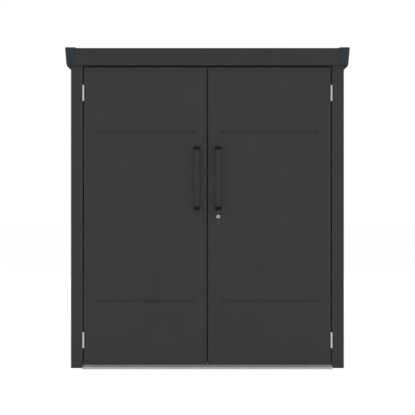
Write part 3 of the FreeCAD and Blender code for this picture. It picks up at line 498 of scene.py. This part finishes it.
def turned_shape(profile, centre, axis, sides=36, six=(), ripple=0.0):
    """Profile of (radius, height) turned round an axis: at angle t a point is r cos t and r sin t beside it.

    Rows numbered in six are hexagons, r = radius / cos(((t + 30) mod 60) - 30). A ripple makes the widest
    radius swell and shrink by that share along the flutes of a knob. It fades inwards with the radius to the
    fourth.
    """
    turn = np.linspace(0, 2 * np.pi, sides, endpoint=False)
    radius, height = np.array(profile, float).T
    waves = ripple * (radius[:, None] / radius.max()) ** 4
    reach = radius[:, None] * (1 + waves * np.cos(KNOB_FLUTES * turn))
    corner = 1 / np.cos((turn + np.pi / 6) % (np.pi / 3) - np.pi / 6)
    for row in six:
        reach[row] = radius[row] * corner
    beside = [i for i in range(3) if i != "xyz".index(axis)]
    grid = np.empty((len(radius), sides, 3))
    grid[..., beside[0]] = reach * np.cos(turn)
    grid[..., beside[1]] = reach * np.sin(turn)
    grid[..., "xyz".index(axis)] = height[:, None]
    return grid + np.array(centre, float)


def straight(section, low, high, axis="x"):
    """Closed section carried from low to high along one axis. Its columns are the other axes in order."""
    at = "xyz".index(axis)
    others = [i for i in range(3) if i != at]
    grid = np.empty((2, len(section), 3))
    grid[..., at] = np.array([low, high], float)[:, None]
    grid[..., others] = section
    return grid


def flipped(profile):
    """The same profile of (radius, height) pointing the other way."""
    return [(radius, -height) for radius, height in profile]


def dome(radius, rim, crown):
    """Profile of a turned cap: a straight rim, then a quarter ellipse (radius cos t, rim + crown sin t)."""
    turn = np.radians(np.linspace(0, 90, DOME_POINTS))
    return [(0, 0), (radius, 0)] + list(zip(radius * np.cos(turn), rim + crown * np.sin(turn)))


def button(radius, rise):
    """Profile of a low button head: a bevelled edge, a flat ring and a shallow recess that narrows down."""
    edge, floor = rise * 0.3, rise * 0.2
    ring, recess, bottom = radius * 0.86, radius * 0.5, radius * 0.42
    return [(radius, -rise), (radius, edge), (ring, rise), (recess, rise), (bottom, floor), (0, floor)]


def piece(name, shells, finish, body, replaced=(), sharp=35.0):
    """One object of closed shells, each a grid of points in millimetres whose rows close on themselves.

    Flat faces close the first and the last row, unless they are the same row, as on a ring. Edges that bend
    by more than sharp degrees stay crisp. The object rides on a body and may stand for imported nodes.
    """
    points, faces, count = [], [], 0
    for grid in shells:
        rows, sides = grid.shape[:2]
        here = np.arange(sides)
        there = (here + 1) % sides
        row = count + sides * np.arange(rows - 1)[:, None]
        quads = np.stack([row + here, row + there, row + sides + there, row + sides + here], -1)
        faces += quads.reshape(-1, 4).tolist()
        if not np.allclose(grid[0], grid[-1]):
            faces += [(count + here[::-1]).tolist(), (count + sides * (rows - 1) + here).tolist()]
        points.append(grid.reshape(-1, 3))
        count += rows * sides
    mesh = bpy.data.meshes.new(name)
    mesh.from_pydata(np.concatenate(points) * MM, [], faces)
    shape = bmesh.new()
    shape.from_mesh(mesh)
    bmesh.ops.remove_doubles(shape, verts=shape.verts, dist=1e-7)
    bmesh.ops.recalc_face_normals(shape, faces=shape.faces)
    shape.to_mesh(mesh)
    shape.free()
    mesh.shade_smooth()
    mesh.set_sharp_from_angle(angle=np.radians(sharp))
    mesh.materials.append(finishes[finish])
    made = bpy.data.objects.new(name, mesh)
    bpy.context.scene.collection.objects.link(made)
    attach(made, body)
    if replaced:
        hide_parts(*replaced)


# Door furniture


def handle(label):
    """Bow handle: shoes run out of the leaf and round a quarter arc, and a crowned bar runs between them."""
    node = label + "_door_handle"
    low, high = span(node)
    x = (low[0] + high[0]) / 2
    half = (high[0] - low[0]) / 2
    out = low[1] + BAR_THICK / 2
    shoes = []
    for end, up in ((low[2] + BAR_THICK / 2, 1), (high[2] - BAR_THICK / 2, -1)):
        bend = (out + BAR_BEND, end + up * BAR_BEND)
        leg = np.stack([np.linspace(FRONT, bend[0], LEG_POINTS), np.full(LEG_POINTS, end)], -1)[:-1]
        turn = arc(bend, BAR_BEND, -90 * up, -180 * up, BEND_POINTS)
        rim = np.array([[out, bend[1] + up * SHOE_RIM]])
        line = np.concatenate([leg, turn, rim])
        size = np.ones(len(line))
        size[-1] = BAR_SHRINK
        shoes.append(carried(outline(half, BAR_THICK / 2, SHOE_POWER, HANDLE_SIDES), line, x, size))
    piece(label + "_handle_shoes", shoes, "handle_shoe", label + "_door", [node])
    inset = BAR_THICK / 2 + BAR_BEND - SHOE_RIM
    line = np.stack([np.full(BAR_POINTS, out), np.linspace(low[2] + inset, high[2] - inset, BAR_POINTS)], -1)
    size = np.full(BAR_POINTS, BAR_SHRINK)
    bar = carried(outline(half, BAR_THICK / 2, BAR_POWER, HANDLE_SIDES), line, x, size)
    piece(label + "_handle_bar", [bar], "handle_powder_coat", label + "_door", [node])


def handle_screws(label):
    """Domed screws inside the leaf, each with a six-sided socket, on a shank into the handle's leg."""
    node = label + "_door_handle_screws"
    low, high = span(node)
    x = (low[0] + high[0]) / 2
    point, seat, top = FRONT - SCREW_GRIP, STILE_FACE, STILE_FACE + SCREW_HEAD
    shoulder_r, shoulder = SCREW_SHOULDER
    shank = [(0, point), (SCREW_SHANK_R, point), (SCREW_SHANK_R, seat)]
    head = [(SCREW_HEAD_R, seat), (SCREW_HEAD_R, seat + SCREW_RIM), (shoulder_r, seat + shoulder),
            (SCREW_CROWN_R, top)]
    socket = [(SOCKET_R, top), (SOCKET_R, top - SOCKET_DEPTH), (0, top - SOCKET_DEPTH - SOCKET_POINT)]
    heights = (low[2] + SCREW_HEAD_R, high[2] - SCREW_HEAD_R)
    profile = shank + head + socket
    screws = [turned_shape(profile, (x, 0, z), "y", FASTENER_SIDES, six=(7, 8)) for z in heights]
    piece(node + "_socketed", screws, "zinc_plated_steel", label + "_door", [node])


def hinge_details(label, side):
    """Domed ends of the knuckles, and the button-head screws of the hinge plates."""
    fixed, moving, frame_plate, leaf_plate = [], [], [], []
    low, high = span(label + "_hinge_door_leaves")
    x = side * HINGE_X
    y = low[1] + KNUCKLE_R
    cap = dome(KNUCKLE_R, KNUCKLE_RIM, KNUCKLE_CROWN)
    head = button(PLATE_SCREW_R, PLATE_SCREW_RISE)
    outward, inward = (flipped(head), head) if side > 0 else (head, flipped(head))
    for foot in (low[2], high[2] - HINGE_HEIGHT):
        moving.append(turned_shape(cap, (x, y, foot + HINGE_HEIGHT), "z"))
        fixed.append(turned_shape(flipped(cap), (x, y, foot), "z"))
        for height in PLATE_SCREW_HEIGHTS:
            spot = (FRONT + PLATE_SCREW_Y, foot + height)
            frame_plate.append(turned_shape(outward, (x + side * PLATE_GAP, *spot), "x", FASTENER_SIDES))
            leaf_plate.append(turned_shape(inward, (x - side * PLATE_GAP, *spot), "x", FASTENER_SIDES))
    piece(label + "_hinge_foot_caps", fixed, "stainless_hinge", "locker_body")
    piece(label + "_hinge_top_caps", moving, "stainless_hinge", label + "_door")
    zinc = "zinc_plated_steel"
    piece(label + "_frame_plate_screws", frame_plate, zinc, "locker_body")
    piece(label + "_leaf_plate_screws", leaf_plate, zinc, label + "_door")


def lock_shutter():
    """Dust shutter: a nearly black blued steel flap a little behind the mouth of the key slot, painted shade
    for the slot's depth.
    """
    low, high = span("lock_plug")
    section = outline(KEY_HALF_W, KEY_HALF_H, KEY_POWER, FASTENER_SIDES) + (low + high)[[0, 2]] / 2
    flap = straight(section, low[1] + SHUTTER_DEPTH, low[1] + SHUTTER_DEPTH + SHUTTER, "y")
    piece("lock_shutter", [flap], "blued_slot_shade", "lock_core")


def guide_places(door, node):
    """Centre x and top of each guide: the upper two are on the outer rod, the lower two on the inner one."""
    low, high = span(node)
    upper, lower = high[0] - GUIDE_HALF_W, low[0] + GUIDE_HALF_W
    return [(upper if i < 2 else lower, top) for i, top in enumerate(GUIDE_TOPS[door])]


def guide_fittings(door, node):
    """Blind rivets that hold the guides to the stile, and the nylon bushes in their arms."""
    rivets, bushes = [], []
    rivet = dome(RIVET_R, RIVET_RIM, RIVET_RISE)
    bore = [(BUSH_BORE, BUSH_RIM), (BUSH_BORE, 0)]
    ring = [(BUSH_BORE, 0), (BUSH_R - BUSH_SEAT_EDGE, 0), (BUSH_R, BUSH_SEAT_EDGE),
            (BUSH_R, BUSH_RIM - BUSH_EDGE), (BUSH_R - BUSH_EDGE, BUSH_RIM)] + bore
    for x, top in guide_places(door, node):
        for offset in (-RIVET_SPREAD, RIVET_SPREAD):
            centre = (x + offset, GUIDE_FACE, top - RIVET_DROP)
            rivets.append(turned_shape(rivet, centre, "y", FASTENER_SIDES))
        bushes.append(turned_shape(ring, (x, FRONT + ROD_DEPTH, top), "z"))
        bushes.append(turned_shape(flipped(ring), (x, FRONT + ROD_DEPTH, top - GUIDE_ARM), "z"))
    piece(door + "_guide_rivets", rivets, "zinc_plated_steel", door)
    piece(door + "_guide_bushes", bushes, "black_nylon", door)


def bolt_knob(name, z):
    """Fluted grip moulded round the metal knob of a bolt of the left leaf, with a rounded rim."""
    low, high = span("left_door_" + name)
    x = (low[0] + high[0]) / 2
    turn = np.radians(np.linspace(0, 90, KNOB_EDGE_POINTS))
    front = list(zip(KNOB_R - KNOB_EDGE + KNOB_EDGE * np.sin(turn), KNOB_EDGE - KNOB_EDGE * np.cos(turn)))
    back = [(radius, KNOB - height) for radius, height in front[::-1]]
    sunk = KNOB - KNOB_INSERT_SINK
    profile = [(0, 0)] + front + back + [(KNOB_INSERT_R, KNOB), (KNOB_INSERT_R, sunk), (0, sunk)]
    grip = turned_shape(profile, (x, high[1] - KNOB + KNOB_LIP, z), "y", KNOB_SIDES, ripple=KNOB_RIPPLE)
    piece("left_" + name + "_knob", [grip], "black_nylon", "left_" + name)


def spot_welds(label, side):
    """Shallow craters of the spot welds that join a stile and a cross rail to the leaf's skin."""
    ridge, bowl = WELD_R * 0.82, WELD_R * 0.6
    crater = [(0, -WELD_ROOT), (WELD_R, -WELD_ROOT), (WELD_R, WELD_RIM), (ridge, WELD_RISE),
              (bowl, WELD_RISE * 0.4), (0, WELD_RISE * 0.2)]
    low, high = span(label + "_door_stile")
    heights = np.arange(low[2] + STILE_WELD_ENDS[0], high[2] - STILE_WELD_ENDS[1], STILE_WELD_STEP)
    spots = [(side * x, z) for x in STILE_WELDS for z in heights]
    rail_low, rail_high = span(label + "_door_cross_rail")
    inner, outer = np.sort(np.abs([rail_low[0], rail_high[0]]))
    for z in (rail_low[2] + RAIL_WELD_EDGE, rail_high[2] - RAIL_WELD_EDGE):
        places = np.arange(inner + RAIL_WELD_ENDS[0], outer - RAIL_WELD_ENDS[1], RAIL_WELD_STEP)
        spots += [(side * x, z) for x in places]
    welds = [turned_shape(crater, (x, STILE_FACE, z), "y", WELD_SIDES) for x, z in spots]
    piece(label + "_spot_welds", welds, "anthracite_powder_coat", label + "_door")


# Frame and roof


def frame_seal():
    """Ribbed seal along the stops, mitred at its two corners.

    At u from its middle its height is its depth times base + (1 - base) cos^2(ribs pi u / width).
    """
    low, high = span("door_frame_seals")
    u = np.linspace(-SEAL_WIDTH / 2, SEAL_WIDTH / 2, SEAL_POINTS)
    ribs = np.cos(SEAL_RIBS * np.pi * u / SEAL_WIDTH) ** 2
    rise = (high[1] - low[1]) * (SEAL_BASE + (1 - SEAL_BASE) * ribs)
    back = [[SEAL_WIDTH / 2, high[1]], [-SEAL_WIDTH / 2, high[1]]]
    section = np.concatenate([np.stack([u, high[1] - rise], -1), back])
    side = high[0] - SEAL_WIDTH / 2
    top = high[2] - SEAL_WIDTH / 2
    corners = np.array([[-side, low[2]], [-side, top], [side, top], [side, low[2]]])
    out = np.array([[-1, 0], [-1, 1], [1, 1], [1, 0]])
    grid = np.empty((4, len(section), 3))
    grid[..., 0] = corners[:, None, 0] + out[:, None, 0] * section[None, :, 0]
    grid[..., 1] = section[None, :, 1]
    grid[..., 2] = corners[:, None, 1] + out[:, None, 1] * section[None, :, 0]
    piece("door_frame_seal", [grid], "seal_rubber", "locker_body", ["door_frame_seals"])


def sill_edge():
    """Aluminium edges of the sill.

    An angle lies over the foot stop, and its front leg runs on to the posts. A low bar with a bevelled edge
    in front of the leaves keeps the rain out.
    """
    face, foot = STOP - EDGE_PLAY, SILL_TOP + EDGE_LIFT
    outside = STOP - EDGE_THICK
    leg = np.array([[outside, foot], [face, foot], [face, EDGE_TOP], [outside, EDGE_TOP]])
    back = span("door_stops")[1][1]
    under = EDGE_TOP - EDGE_THICK + EDGE_PLAY
    cover = np.array([[face, under], [back, under], [back, EDGE_TOP], [face, EDGE_TOP]])
    near, far = FRONT - RAIN_BAR_DEPTH, FRONT - RAIN_BAR_PLAY
    root, top = SILL_TOP - RAIN_BAR_ROOT, SILL_TOP + RAIN_BAR
    bar = np.array([[near, root], [near, top - RAIN_BAR_BEVEL], [near + RAIN_BAR_BEVEL, top], [far, top],
                    [far, root]])
    shells = [straight(leg, EDGE_END - DOORWAY_HALF, DOORWAY_HALF - EDGE_END),
              straight(cover, -STOP_HALF, STOP_HALF),
              straight(bar, RAIN_BAR_END - DOORWAY_HALF, DOORWAY_HALF - RAIN_BAR_END)]
    piece("sill_edge", shells, "mill_aluminium", "locker_body")


def foot_plates():
    """Plates welded into the feet of the rear posts, level with the feet of the ground rails.

    Each has an upright tab that fills the slit between the end of the back rail and the lip of the post,
    and reaches into the weld on both sides.
    """
    post_low, post_high = span("rear_post_right")
    rail_end = span("ground_rail_back")[1][0]
    end = rail_end + FOOT_PLAY
    start = span("ground_rail_right")[1][1] + FOOT_PLAY
    wall, back = post_high[:2] - SHEET - FOOT_PLAY
    lip_x, lip_y = wall - POST_LIP + SHEET, back - POST_LIP + SHEET
    lip_face = post_low[:2] + SHEET + FOOT_PLAY
    plan = np.array([[end, start], [lip_x, start], [lip_x, lip_face[1]], [wall, lip_face[1]], [wall, back],
                     [lip_face[0], back], [lip_face[0], lip_y], [end, lip_y]])
    near, far = rail_end - FOOT_WELD, post_low[0] + FOOT_WELD
    tab = np.array([[near, lip_y], [far, lip_y], [far, back], [near, back]])
    shells = []
    for side in (-1, 1):
        shells.append(straight(plan * (side, 1), 0.0, FOOT_PLATE, "z"))
        shells.append(straight(tab * (side, 1), FOOT_PLATE + FOOT_TAB_LIFT, FOOT_TAB, "z"))
    piece("rear_foot_plates", shells, "galvanised_steel", "locker_body")


def roof_cap(place, side, front):
    """Moulded cap over a roof corner: an L in plan that leans in towards its foot, and a round-edged lid.

    In plan the outer corner is the origin, the walls run to minus the cap's length, and the corner is a
    quarter circle.
    """
    node = "roof_cap_" + place
    low, high = span(node)
    corner = np.array([high[0] if side > 0 else low[0], low[1] if front else high[1]])
    facing = np.array([side, -1 if front else 1])
    end = low[0] - high[0]
    curve = arc((-CAP_CORNER, -CAP_CORNER), CAP_CORNER, 90, 0, BEND_POINTS)
    outside = np.concatenate([[[end, 0]], curve, [[0, end]]])
    inside = np.array([[-CAP_WALL, end], [-CAP_WALL, -CAP_WALL], [end, -CAP_WALL]])

    def rows(plan, heights, insets):
        """Plan at each height: everything but its two ends is drawn in by the lean and the inset."""
        drawn = (high[2] - heights) * CAP_LEAN + insets
        grid = np.empty((len(heights), len(plan), 3))
        grid[..., :2] = corner + facing * np.where(plan > end, plan - drawn[:, None, None], plan)
        grid[..., 2] = heights[:, None]
        return grid

    under = high[2] - CAP_LID
    wall = rows(np.concatenate([outside, inside]), np.array([low[2], under + CAP_LAP]), np.zeros(2))
    turn = np.radians(np.linspace(0, 90, CAP_EDGE_POINTS))
    heights = np.append(under, high[2] - CAP_EDGE + CAP_EDGE * np.sin(turn))
    insets = np.append(0, CAP_EDGE - CAP_EDGE * np.cos(turn))
    lid = rows(np.concatenate([outside, [[end, end]]]), heights, insets)
    piece(node + "_moulding", [wall, lid], "cap_moulding", "locker_body", [node])


def roof_screws():
    """Hexagon-head roof screws on rubber-backed washers, on the beams at both sides of each panel joint."""
    heads, washers = [], []
    hexagon = [(0, HEX_FOOT), (HEX_R, HEX_FOOT), (HEX_R, HEX_TOP - HEX_EDGE), (HEX_R - HEX_EDGE, HEX_TOP),
               (0, HEX_TOP)]
    dish = [(0, 0), *WASHER_EDGE, (WASHER_SEAT_R, WASHER), (0, WASHER)]
    for panel in ("roof_panel_middle", "roof_panel_rear"):
        low, high = span(panel)
        deck = high[2] - SEAM_HEIGHT
        for x in ROOF_SCREW_PLACES:
            for beside in ROOF_SCREW_BESIDE:
                centre = (x, low[1] + beside, deck)
                heads.append(turned_shape(hexagon, centre, "z", HEX_SIDES, six=(1, 2)))
                washers.append(turned_shape(dish, centre, "z", FASTENER_SIDES))
    piece("roof_screw_heads", heads, "zinc_plated_steel", "locker_body", sharp=25.0)
    piece("roof_screw_washers", washers, "galvanised_steel", "locker_body")


# Studio


def camera():
    """Level camera on the middle of the front, as far away as the photo's perspective says."""
    data = bpy.data.cameras.new("front_camera")
    data.sensor_width = SENSOR
    data.lens = SENSOR * CAMERA_DISTANCE / SEEN_WIDTH
    seen = bpy.data.objects.new("front_camera", data)
    seen.location = (CAMERA_X * MM, (FRONT - CAMERA_DISTANCE) * MM, CAMERA_HEIGHT * MM)
    seen.rotation_euler = (np.pi / 2, 0, 0)
    bpy.context.scene.collection.objects.link(seen)
    bpy.context.scene.camera = seen


def seen_directly(tree):
    """1 for rays from the camera, a mirror or glass, so that a background shows white in all of them."""
    path = add(tree, "ShaderNodeLightPath")
    either = path.outputs["Is Camera Ray"]
    for name in ("Is Glossy Ray", "Is Transmission Ray"):
        either = add(tree, "ShaderNodeMath", {0: either, 1: path.outputs[name]}, operation="MAXIMUM")
    return either


def white_world():
    """White background that lights the locker evenly at a lower level."""
    world = bpy.data.worlds.new("studio")
    world.use_nodes = True
    tree = world.node_tree
    tree.nodes.clear()
    level = add(tree, RANGE, {"Value": seen_directly(tree), "To Min": WORLD_LEVEL})
    light = add(tree, "ShaderNodeBackground", {"Color": (1, 1, 1, 1), "Strength": level})
    add(tree, "ShaderNodeOutputWorld", {"Surface": light})
    bpy.context.scene.world = world


def pale_floor():
    """Floor that looks white in the open, keeps the locker's shadow and is dark in holes under it."""
    material, tree = new_material("pale_floor")[:2]
    matt = add(tree, "ShaderNodeBsdfDiffuse", {"Color": linear(FLOOR)})
    glow = add(tree, "ShaderNodeEmission", {"Color": (1, 1, 1, 1), "Strength": FLOOR_LEVEL})
    reach = {"Distance": COVER_REACH * MM}
    open_air = add(tree, "ShaderNodeAmbientOcclusion", reach, samples=16).outputs["AO"]
    cover = {"Value": open_air, "From Min": COVER_SHUT, "From Max": COVER_OPEN, "To Max": FLOOR_SHARE}
    lit = {0: seen_directly(tree), 1: add(tree, RANGE, cover)}
    share = add(tree, "ShaderNodeMath", lit, operation="MULTIPLY")
    add(tree, SURFACE, {"Surface": add(tree, "ShaderNodeMixShader", {0: share, 1: matt, 2: glow})})
    half = FLOOR_HALF * MM
    corners = [(-half, -half, 0), (half, -half, 0), (half, half, 0), (-half, half, 0)]
    mesh = bpy.data.meshes.new("floor")
    mesh.from_pydata(corners, [], [(0, 1, 2, 3)])
    mesh.materials.append(material)
    floor = bpy.data.objects.new("floor", mesh)
    bpy.context.scene.collection.objects.link(floor)


def soft_light(name, place, width, height, power):
    """Large area lamp that lights the locker and shows neither to the camera nor in metal."""
    data = bpy.data.lights.new(name, "AREA")
    data.shape = "RECTANGLE"
    data.size = width
    data.size_y = height
    data.energy = power
    lamp = bpy.data.objects.new(name, data)
    lamp.location = place
    towards = np.subtract(AIM, place)
    reach = np.linalg.norm(towards)
    lamp.rotation_euler = (np.arccos(-towards[2] / reach), 0, np.arctan2(-towards[0], towards[1]))
    lamp.visible_camera = False
    lamp.visible_glossy = False
    bpy.context.scene.collection.objects.link(lamp)


bpy.context.scene.view_settings.view_transform = "Standard"
dress_nodes()
for label, side in (("left", -1), ("right", 1)):
    handle(label)
    handle_screws(label)
    hinge_details(label, side)
    spot_welds(label, side)
lock_shutter()
guide_fittings("left_door", "left_door_bolt_guides")
guide_fittings("right_door", "lock_rod_guides")
for name, z in KNOB_HEIGHTS.items():
    bolt_knob(name, z)
frame_seal()
sill_edge()
foot_plates()
for place, side, front in (("front_left", -1, True), ("front_right", 1, True),
                           ("back_left", -1, False), ("back_right", 1, False)):
    roof_cap(place, side, front)
roof_screws()
camera()
white_world()
pale_floor()
for lamp in LAMPS:
    soft_light(*lamp)
